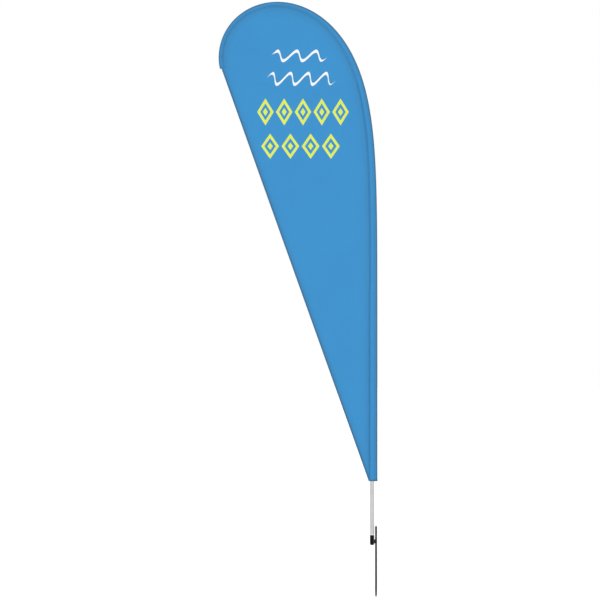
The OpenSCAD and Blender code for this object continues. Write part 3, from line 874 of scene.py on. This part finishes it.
# %% The sleeve
SLEEVE_START_T = t_at(MOUTH_Z + HEM)
POCKET_T = 60 * MM
RING_PITCH = 8 * MM
LAP = 4 * MM          # how far the sleeve runs on under its hem and under the pocket
sleeve_ts = np.concatenate([
    np.arange(SLEEVE_START_T + LAP, POCKET_T, -RING_PITCH), [POCKET_T - LAP]])
points, folds = sleeve_rings(sleeve_ts)
sleeve = make_mesh("pole_sleeve_cloth", points, sweep_faces(len(sleeve_ts), SECTION_POINTS))
# Painted shade: the sleeve is darkened a little all along, and more towards the tip.
tip_shade_share = np.exp(-(np.repeat(sleeve_ts, SECTION_POINTS) / (450 * MM)) ** 2)
paint_masks(sleeve, folds, 0.1 + 0.2 * tip_shade_share)
thicken(sleeve, 0.3 * MM, -1)
finish_piece(sleeve, "flag_and_pole", SLEEVE_CLOTH, ["pole_sleeve"], sharp=50)
print(len(sleeve_ts), "rings of", SECTION_POINTS, "points")

# %% [markdown]
# ## The closed tip
# At the tip the sleeve ends in a pocket that catches the pole's rubber cap. A second layer
# of cloth is sewn round it against wear, and its end is pinched flat and stitched shut.

# %% Tip pocket
PINCH_FROM = 15 * MM
pocket_ts = [62 * MM, 61.5 * MM, 58 * MM, 50 * MM, 40 * MM, 30 * MM, 22 * MM, 16 * MM,
             12 * MM, 9 * MM, 6 * MM, 3 * MM, 0.4 * MM, -0.6 * MM, -1 * MM]
points, folds = [], []
for t in pocket_ts:
    flat_share = ease(np.array(t), 1 * MM, PINCH_FROM)
    extra = 0.0 if t > 61.8 * MM or t < -0.9 * MM else 0.45 * MM
    section = sleeve_section(max(t, 1 * MM), extra=extra, pinch=0.3 + 0.7 * float(flat_share))
    points.append(place(t, section[:, 0], section[:, 1]))
    folds.append(np.maximum(section[:, 2], 0.6 * math.exp(-(t / (2 * MM)) ** 2)))
pocket = make_mesh("tip_pocket_cloth", np.concatenate(points),
                   sweep_faces(len(pocket_ts), SECTION_POINTS, capped=True))
# Painted shade darkens the whole pocket.
paint_masks(pocket, np.concatenate(folds), 0.36)
finish_piece(pocket, "flag_and_pole", SLEEVE_CLOTH, ["tip_pocket"], sharp=50)
print("pocket", round((pocket_ts[0] - pocket_ts[-1]) / MM), "mm long")

# %% [markdown]
# ## The hems
# A cut edge frays, so it is folded over twice and stitched down. Three layers are thicker,
# and the hems take a darker blue, partly for their layers and partly as painted shade
# along the edge. Both hems are closed strips with a rounded outer edge and a shallow
# groove under the thread, swept along the edge they finish.

# %% Trailing hem
HEM_SECTION = ((7.0, 0.30), (6.8, 0.75), (5.6, 0.85), (4.6, 0.72), (3.6, 0.85), (1.0, 0.85),
               (0.3, 0.6), (0.0, 0.2))


def swept_strip(name, near, far, section):
    """A strip between two lines of points. Its section is given in millimetres, as
    (distance from near to far, half thickness)."""
    whole = list(section) + [(a, -b) for a, b in section[::-1]]
    rings = [near + (far - near) * (a * MM / HEM) + np.array([0, b * MM, 0]) for a, b in whole]
    points = np.stack(rings, axis=1).reshape(-1, 3)
    return make_mesh(name, points, sweep_faces(len(near), len(whole), capped=True))


hem_count = 330
hem_share = np.linspace(0, 1 - 3 * MM / trailing_length, hem_count)[:, None]
hem_edge = trailing_points(0)
hem_outer_line = hem_edge[0] + (hem_edge[-1] - hem_edge[0]) * hem_share
# At the mouth the seam cuts the hem off at a slant, so only a share of its width has room.
room = (SEAM_X + 1 * MM - hem_outer_line[:, :1]) / (trailing_in[0] * HEM)
hem_inner_line = hem_outer_line + trailing_in * HEM * np.minimum(room, 1)
outer_y, inner_y = cloth_height(hem_outer_line), cloth_height(hem_inner_line)
trailing_hem = swept_strip("trailing_hem_cloth", stand_up(hem_outer_line, outer_y),
                           stand_up(hem_inner_line, inner_y), HEM_SECTION)
paint_masks(trailing_hem)
finish_piece(trailing_hem, "flag_and_pole", HEM_CLOTH, ["trailing_hem"], sharp=60)

# %% Mouth hem
MOUTH_SECTION = ((8.2, 0.10), (7.6, 0.40), (5.2, 0.45), (4.2, 0.30), (3.2, 0.45), (1.0, 0.40),
                 (0.2, 0.15), (0.0, -0.35), (0.3, -0.8), (1.5, -1.0), (8.0, -1.0))
LEAN = float(trailing_way[0] / trailing_way[1])
THIN = 0.15 * MM      # the least half thickness of a fold


def to_corner(up):
    """How far the straight edge stands beyond the seam, at a height above the mouth."""
    return float(SEAM_X - mouth_corner[0] - up * LEAN)


points = []
for up, extra in MOUTH_SECTION:
    t = t_at(MOUTH_Z + up * MM)
    section = sleeve_section(t, out=extra * MM, into=to_corner(up * MM) + extra * MM)
    grow = np.where(section[:, 1] > 0, extra, -extra) * MM
    thin = np.abs(section[:, 1]) + extra * MM < THIN
    v = np.where(thin, np.sign(section[:, 1]) * THIN, section[:, 1] + grow)
    points.append(place(t, section[:, 0], v))
mouth_hem = make_mesh("mouth_hem_cloth", np.concatenate(points),
                      sweep_faces(len(points), SECTION_POINTS, closed_path=True))
# The mouth hem takes the sleeve's fold mask: darker for layered cloth, and painted shade at the rim
# and seam.
paint_masks(mouth_hem, np.tile(sleeve_section(MOUTH_T)[:, 2] * 0.9, len(points)))
finish_piece(mouth_hem, "flag_and_pole", HEM_CLOTH, ["mouth_hem"], sharp=60)

# %% [markdown]
# ## Stitches
# Every seam and hem is held by rows of lockstitch. Each stitch is a short thread that
# dives into the cloth at both ends. A particle system or an array could lay them, but the
# rows curve with the pole, so one small thread is copied to places worked out along each
# row, with the cloth's own normal there as its upright.

# %% One stitch, copied along a row
STITCH_PITCH = 6 * MM
STITCH_LENGTH = 4.2 * MM
THREAD_R = 0.22 * MM
THREAD_SIDES = 5
thread_rings = [(-0.38, 0.85, 0.02), (0.0, 1.0, 0.16), (0.38, 0.85, 0.02)]
one_stitch = [(-0.5, 0.0, -0.25)]
for along, thick, lift in thread_rings:
    for k in range(THREAD_SIDES):
        turn = 2 * math.pi * k / THREAD_SIDES
        one_stitch.append((along, thick * THREAD_R / MM * math.cos(turn),
                           lift + thick * THREAD_R / MM * math.sin(turn)))
one_stitch = np.array(one_stitch + [(0.5, 0.0, -0.25)])
last_point = len(one_stitch) - 1
stitch_faces = []
for k in range(THREAD_SIDES):
    after = (k + 1) % THREAD_SIDES
    stitch_faces.append((0, 1 + after, 1 + k))
    for ring in (0, 1):
        low, high = 1 + ring * THREAD_SIDES, 1 + (ring + 1) * THREAD_SIDES
        stitch_faces.append((low + k, low + after, high + after, high + k))
    top = 1 + 2 * THREAD_SIDES
    stitch_faces.append((top + k, top + after, last_point))


# %% Thread
def thread_material():
    material, net, shader, where = new_material("polyester_thread")
    twist = net.noise(where, 2500.0, 2.0)
    net.fill(shader, {
        "Base Color": net.mix(net.ramp(twist, 0.3, 0.7), linear(58, 112, 152),
                              linear(72, 134, 180)),
        "Roughness": net.ramp(twist, 0.3, 0.7, 0.4, 0.6),
        "Normal": net.bump(twist, 0.3, 0.05 * MM),
        "Sheen Weight": 0.1,
    })
    return material


THREAD = thread_material()


# %% Stitches along a row
def unit(vectors):
    return vectors / np.linalg.norm(vectors, axis=-1, keepdims=True)


def stitch_chunk(centres, ways, uprights):
    """Points and faces of one stitch at each centre, along each way."""
    sides = unit(np.cross(uprights, ways))
    points = (centres[:, None, :]
              + one_stitch[None, :, :1] * STITCH_LENGTH * ways[:, None, :]
              + one_stitch[None, :, 1:2] * MM * sides[:, None, :]
              + one_stitch[None, :, 2:] * MM * uprights[:, None, :]).reshape(-1, 3)
    faces = [tuple(base + i for i in face)
             for base in range(0, len(points), len(one_stitch)) for face in stitch_faces]
    return points, faces


def stitch_row(path, uprights):
    """Stitches on the middle of each stretch of a row of points."""
    centres = (path[1:] + path[:-1]) / 2
    return stitch_chunk(centres, unit(path[1:] - path[:-1]), (uprights[1:] + uprights[:-1]) / 2)


def sewn(name, chunks):
    points, faces = join_points(chunks)
    return finish_piece(make_mesh(name, points, faces), "flag_and_pole", THREAD)


def straight_up(count, side):
    return np.tile([0.0, float(side), 0.0], (count, 1))


# %% Rows along the sleeve
SEAM_INSETS = (1.6 * MM, 4.4 * MM)
FOLD_INSET = 4 * MM
THREAD_LIFT = 0.1 * MM
row_t = np.arange(SLEEVE_START_T - 2 * MM, 8 * MM, -STITCH_PITCH)
seam_rows, fold_rows = [], []
for side in (-1, 1):
    up = straight_up(len(row_t), side)
    for inset in SEAM_INSETS:
        row = place(row_t, -inner_at(row_t) + inset, side * (FLANGE_HALF + THREAD_LIFT))
        seam_rows.append(stitch_row(row, up))
    row = place(row_t, outer_at(row_t) - FOLD_INSET, side * (FIN_HALF + THREAD_LIFT))
    fold_rows.append(stitch_row(row, up))
seam_stitches = sewn("seam_stitches", seam_rows)
fold_stitches = sewn("fold_stitches", fold_rows)
print(2 * len(seam_rows[0][0]) // len(one_stitch), "stitches along each side of the seam")

# %% Rows along the straight hem
hem_rows = []
ROW_PLACE = 0.65      # from the hem's outer edge to its inner edge
row_share = np.arange(0.004, 0.996, STITCH_PITCH / trailing_length)
hem_middle = (1 - ROW_PLACE) * hem_outer_line + ROW_PLACE * hem_inner_line
middle_y = (1 - ROW_PLACE) * outer_y + ROW_PLACE * inner_y
stitch_line = np.stack([np.interp(row_share, hem_share[:, 0], hem_middle[:, k])
                        for k in (0, 1)], axis=-1)
row_y = np.interp(row_share, hem_share[:, 0], middle_y)
for side in (-1, 1):
    row = stand_up(stitch_line, row_y + side * 0.8 * MM)
    hem_rows.append(stitch_row(row, straight_up(len(row), side)))
hem_stitches = sewn("trailing_hem_stitches", hem_rows)


# %% Rows round the mouth and the pocket
def row_round(t, lift, **options):
    """A closed row of stitches round the sleeve."""
    section = sleeve_section(t, **options)[:, :2]
    ring = np.concatenate([section, section[:1]])
    reach = np.concatenate([[0], np.cumsum(np.linalg.norm(np.diff(ring, axis=0), axis=1))])
    even = np.linspace(0, reach[-1], int(reach[-1] / (STITCH_PITCH * 0.8)), endpoint=False)
    u, v = np.interp(even, reach, ring[:, 0]), np.interp(even, reach, ring[:, 1])
    du, dv = np.roll(u, -1) - np.roll(u, 1), np.roll(v, -1) - np.roll(v, 1)
    size = np.hypot(du, dv)
    out_u, out_v = -dv / size, du / size
    facing = np.sign((out_u * u + out_v * v).sum())
    base = place(t, u, v)
    outwards = unit(place(t, u + facing * out_u * MM, v + facing * out_v * MM) - base)
    ways = unit(np.roll(base, -1, axis=0) - np.roll(base, 1, axis=0))
    kept = (u < section[:, 0].max() - 3 * MM) & (u > section[:, 0].min() + 3 * MM)
    return stitch_chunk((base + outwards * lift)[kept], ways[kept], outwards[kept])


mouth_rows = [row_round(t_at(MOUTH_Z + 4.2 * MM), 0.45 * MM, into=to_corner(4.2 * MM))]
mouth_stitches = sewn("mouth_stitches", mouth_rows)
pocket_rows = [row_round(57.5 * MM, 0.55 * MM), row_round(54.5 * MM, 0.55 * MM)]
for t in (4 * MM, 7 * MM):
    flatness = 0.3 + 0.7 * float(ease(np.array(t), 1 * MM, PINCH_FROM))
    pocket_rows.append(row_round(t, 0.05 * MM, extra=0.45 * MM, pinch=flatness))
pocket_stitches = sewn("tip_pocket_stitches", pocket_rows)
print(len(mouth_rows) + len(pocket_rows), "rows round the sleeve")

# %% [markdown]
# ## The elastic loop
# Inside the sleeve's mouth an elastic loop runs from the seam to a hook on the tube. It
# pulls the sleeve down, which keeps the whole flag tight. Woven elastic is a flat band with
# ribs where its rubber cords run, so its section has three ridges.

# %% Elastic band round the hook
loop_low, loop_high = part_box("tension_loop")
loop_middle = [(a + b) / 2 for a, b in zip(loop_low, loop_high)]
BAND_HALF = 0.5 * MM
loop_r = (loop_high[1] - loop_low[1]) / 2 - BAND_HALF
loop_w = loop_high[0] - loop_low[0]
straight = loop_high[2] - loop_low[2] - 2 * (loop_r + BAND_HALF)
bottom_z, top_z = loop_low[2] + loop_r + BAND_HALF, loop_high[2] - loop_r - BAND_HALF
loop_path = []
for first_turn, end_z, way in ((math.pi, bottom_z, 1.0), (0.0, top_z, -1.0)):
    for i in range(17):
        turn = first_turn + math.pi * i / 16
        loop_path.append((math.cos(turn), math.sin(turn), end_z))
    for i in range(1, 12):
        loop_path.append((way, 0.0, end_z + way * straight * i / 12))
band = []
for k in range(24):
    turn = 2 * math.pi * k / 24
    x = math.cos(turn) * 0.5
    thick = 0.36 * math.sin(turn) * (1 + 0.25 * math.cos(x * 6 * math.pi))
    band.append((x * loop_w, thick * MM))
points = []
for y_way, z_way, z in loop_path:
    for x, out in band:
        reach = loop_r + out
        points.append((loop_middle[0] + x, loop_middle[1] + y_way * reach, z + z_way * reach))
elastic = make_mesh("elastic_loop", points, sweep_faces(len(loop_path), len(band), True))
ELASTIC = moulded_material("woven_elastic", linear(34, 34, 36), 0.8, 400.0, sheen=0.15)
finish_piece(elastic, "flag_and_pole", ELASTIC, ["tension_loop"])
print("loop", round((loop_high[2] - loop_low[2]) / MM), "mm long")

# %% [markdown]
# ## The base tube
# The lowest section is a drawn tube. It is the one bare part of the pole, so its rims get
# the small round edge that a deburring tool leaves. A lathe outline gives both at once.

# %% Base tube
tube_low, tube_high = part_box("base_tube")
TUBE_R = (tube_high[0] - tube_low[0]) / 2
BORE_R = TUBE_R - 1.5 * MM
RIM = 0.45 * MM


def rounded_tube(bottom, top, outer, inner, rim):
    """Outline of a tube whose four edges are rounded."""
    outline = []
    corners = ((outer, bottom, -1, -1, 270), (outer, top, -1, 1, 0),
               (inner, top, 1, 1, 90), (inner, bottom, 1, -1, 180))
    for r, z, in_r, up, start in corners:
        for k in range(5):
            turn = math.radians(start + 22.5 * k)
            outline.append((r + in_r * rim + rim * math.cos(turn),
                            z - up * rim + rim * math.sin(turn)))
    return outline


tube = lathe("base_tube_drawn", rounded_tube(tube_low[2], tube_high[2], TUBE_R, BORE_R, RIM),
             (POLE_X, 0.0), 64)
finish_piece(tube, "flag_and_pole", TUBE, ["base_tube"], sharp=50)
print("tube", round(2 * TUBE_R / MM, 1), "mm wide,", round((tube_high[2] - tube_low[2]) / MM), "long")

# %% [markdown]
# ## The spike
# The spike is one round bar. Its head is hammered, so its top is a little flattened and
# spread, and the end that goes into the ground is a smooth ogive, which parts the soil
# better than a cone. The shallow turned groove marks how deep it is driven.

# %% Spike rod
spike_low, spike_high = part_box("spike_rod")
SPIKE_R = (spike_high[0] - spike_low[0]) / 2
POINT = 12 * MM
MARK_Z, MARK_W, MARK_DEPTH = 2 * MM, 2 * MM, 0.4 * MM
ogive_r = (SPIKE_R ** 2 + POINT ** 2) / (2 * SPIKE_R)
spike_outline = [(0.0, spike_low[2])]
for k in range(1, 13):
    z = POINT * k / 12
    r = SPIKE_R - ogive_r + math.sqrt(ogive_r ** 2 - (POINT - z) ** 2)
    spike_outline.append((r, spike_low[2] + z))
for z in np.linspace(spike_low[2] + POINT + 5 * MM, MARK_Z - 5 * MM, 12):
    spike_outline.append((SPIKE_R, z))
GROOVE = ((0, 0), (0.15, 0.5), (0.3, 1), (0.7, 1), (0.85, 0.5), (1, 0))
spike_outline += [(SPIKE_R - MARK_DEPTH * deep, MARK_Z + MARK_W * along)
                  for along, deep in GROOVE]
neck = spike_high[2] - SPIKE_R
for z in np.linspace(MARK_Z + MARK_W + 3 * MM, neck, 8):
    spike_outline.append((SPIKE_R, z))
for k in range(1, 12):
    turn = math.pi / 2 * k / 12
    spread = 1.0 - 0.12 * math.sin(2 * turn) ** 2
    spike_outline.append((SPIKE_R * math.cos(turn) ** 0.75 * spread,
                          neck + SPIKE_R * math.sin(turn) * 0.97))
spike_outline.append((0.0, neck + SPIKE_R * 0.97))
spike = lathe("spike_rod_bar", spike_outline, (0.0, 0.0), 48)
finish_piece(spike, "ground_spike", SPIKE_PAINT, ["spike_rod"], sharp=40)
print("spike", round(2 * SPIKE_R / MM, 1), "mm wide, point at", round(spike_low[2] / MM), "mm")

# %% Domed plug under the housing
plug_low, plug_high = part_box("housing_plug")
PLUG_R = (plug_high[0] - plug_low[0]) / 2
DOME = 4.5 * MM
SPIGOT_R, EDGE = 7.99 * MM, 0.5 * MM
dome_r = (PLUG_R ** 2 + DOME ** 2) / (2 * DOME)
dome_turn = math.asin(PLUG_R / dome_r)
plug_outline = [(dome_r * math.sin(dome_turn * k / 16),
                 plug_low[2] + dome_r * (1 - math.cos(dome_turn * k / 16))) for k in range(16)]
plug_outline += [(PLUG_R, plug_low[2] + DOME - EDGE), (PLUG_R, plug_low[2] + DOME),
                 (SPIGOT_R, plug_low[2] + DOME), (SPIGOT_R, plug_high[2] - EDGE),
                 (SPIGOT_R - EDGE, plug_high[2]), (0.0, plug_high[2])]
plug = lathe("housing_plug_turned", plug_outline, (POLE_X, 0.0), 64)
finish_piece(plug, "ground_spike", HOUSING_PAINT, ["housing_plug"], sharp=40)

# %% [markdown]
# ## Weld beads
# The link is welded to the bar and to the housing. A bead is a row of overlapping ripples,
# one for each drop of the melt, so its thickness rises and falls along it.

# %% Weld beads
link_low, link_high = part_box("spike_link")
housing_low, housing_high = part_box("bearing_housing")
HOUSING_R = (housing_high[1] - housing_low[1]) / 2
WEB_HALF = 4 * MM
FLAT_DEPTH = 2 * MM
SADDLE_ANGLE = math.radians(60)
RIPPLE = 1.3 * MM
BEAD_SIDES = 12
FIRST_SEED = 10


def weld_bead(x, y, bottom, top, r, seed):
    """A bead from bottom to top, with ripples and blunt ends."""
    rng = random.Random(seed)
    count = int((top - bottom) / (RIPPLE / 4))
    points = []
    for i in range(count + 1):
        share = i / count
        z = bottom + (top - bottom) * share
        ripple = 0.5 + 0.5 * math.sin(2 * math.pi * z / RIPPLE)
        to_end = min(share, 1 - share)
        blunt = min(1.0, math.sqrt(max(1e-4, to_end * 12)))
        size = r * blunt * (0.86 + 0.14 * ripple + rng.uniform(-0.03, 0.03))
        for k in range(BEAD_SIDES):
            turn = 2 * math.pi * k / BEAD_SIDES
            points.append((x + size * math.cos(turn), y + size * math.sin(turn),
                           z + 0.25 * RIPPLE * math.cos(turn)))
    return points, sweep_faces(count + 1, BEAD_SIDES, capped=True)


# %% Four beads in one piece
saddle_r = HOUSING_R + 0.9 * MM
bead_angle = SADDLE_ANGLE * 1.04
bead_places = []
for side in (-1, 1):
    bead_places.append((-SPIKE_R + FLAT_DEPTH - 0.5 * MM, side * (WEB_HALF + 0.1 * MM), 1.1 * MM))
    bead_places.append((POLE_X + saddle_r * math.cos(bead_angle),
                        side * saddle_r * math.sin(bead_angle), 1.2 * MM))
beads = [weld_bead(x, y, link_low[2] + 1 * MM, link_high[2] - 1 * MM, r, FIRST_SEED + i)
         for i, (x, y, r) in enumerate(bead_places)]
points, faces = join_points(beads)
welds = make_mesh("link_weld_beads", points, faces)
finish_piece(welds, "ground_spike", LINK_PAINT)
print(len(beads), "beads with", len(faces), "faces")

# %% [markdown]
# ## The sleeve's sections again
# The panel and the sleeve were cut flat, and the pole holds them stretched. Hems, pocket
# and stitches belong to one or the other. The loop below works out the sleeve's section at
# each ring once more, and keeps nothing from it.

for t in sleeve_ts:
    ring = sleeve_section(t)[:, :2]

# %% [markdown]
# ## Floor, camera and light
# A plain white floor and white surroundings. The camera stands far back and level, with a
# long lens, so that the tall flag keeps its proportions. Two large soft lights in front
# keep the cloth even, and a third lifts the edges from behind.

# %% Stage
FLOOR_HALF = 30.0
FLOOR_GLOW = 0.36     # lifts the floor that the camera sees to the white of its surroundings
WHITE = (1.0, 1.0, 1.0, 1.0)
floor_corners = [(FLOOR_HALF * x, FLOOR_HALF * y, CAD_BOX[0][2])
                 for x, y in ((-1, -1), (1, -1), (1, 1), (-1, 1))]
floor = make_mesh("studio_floor", floor_corners, [(0, 1, 2, 3)])
floor_material, net, shader, where = new_material("white_floor_paint")
seen = net.add("ShaderNodeLightPath").outputs["Is Camera Ray"]
net.fill(shader, {
    "Base Color": net.mix(net.noise(where, 0.6), linear(250, 250, 250), linear(253, 253, 253)),
    "Roughness": 0.9,
    "Emission Color": WHITE,
    "Emission Strength": net.math("MULTIPLY", seen, FLOOR_GLOW),
})
floor.data.materials.append(floor_material)

# %% World
world = bpy.data.worlds.new("white_surroundings")
bpy.context.scene.world = world
world.use_nodes = True
SKY_GREY = (0.45, 0.455, 0.46, 1.0)
sky = Net(world.node_tree)
seen = sky.add("ShaderNodeLightPath").outputs["Is Camera Ray"]
sky.fill(world.node_tree.nodes["Background"], {
    "Color": sky.mix(seen, SKY_GREY, WHITE), "Strength": 1.0})

# %% Lights
def soft_light(name, comes_from, strength):
    """A broad light that is equally strong everywhere, as from a wall of soft boxes."""
    light = bpy.data.lights.new(name, "SUN")
    light.angle = math.radians(50)
    light.energy = strength
    lamp = put_in_scene(name, light)
    lamp.location = comes_from
    lamp.rotation_euler = Vector(comes_from).to_track_quat("Z", "Y").to_euler()


soft_light("key", (-3.4, -4.0, 2.4), 1.0)
soft_light("fill", (3.4, -4.0, 1.2), 0.9)
soft_light("back", (1.2, 4.0, 2.4), 0.5)

# %% Camera
camera_data = bpy.data.cameras.new("front_camera")
camera_data.lens = 150
camera_data.sensor_width = 36
camera_data.clip_end = 200
camera = put_in_scene("front_camera", camera_data)
camera.location = (-0.384, -12.625, 1.2458)
camera.rotation_euler = (math.pi / 2, 0.0, 0.0)
bpy.context.scene.camera = camera
bpy.context.scene.view_settings.view_transform = "Standard"
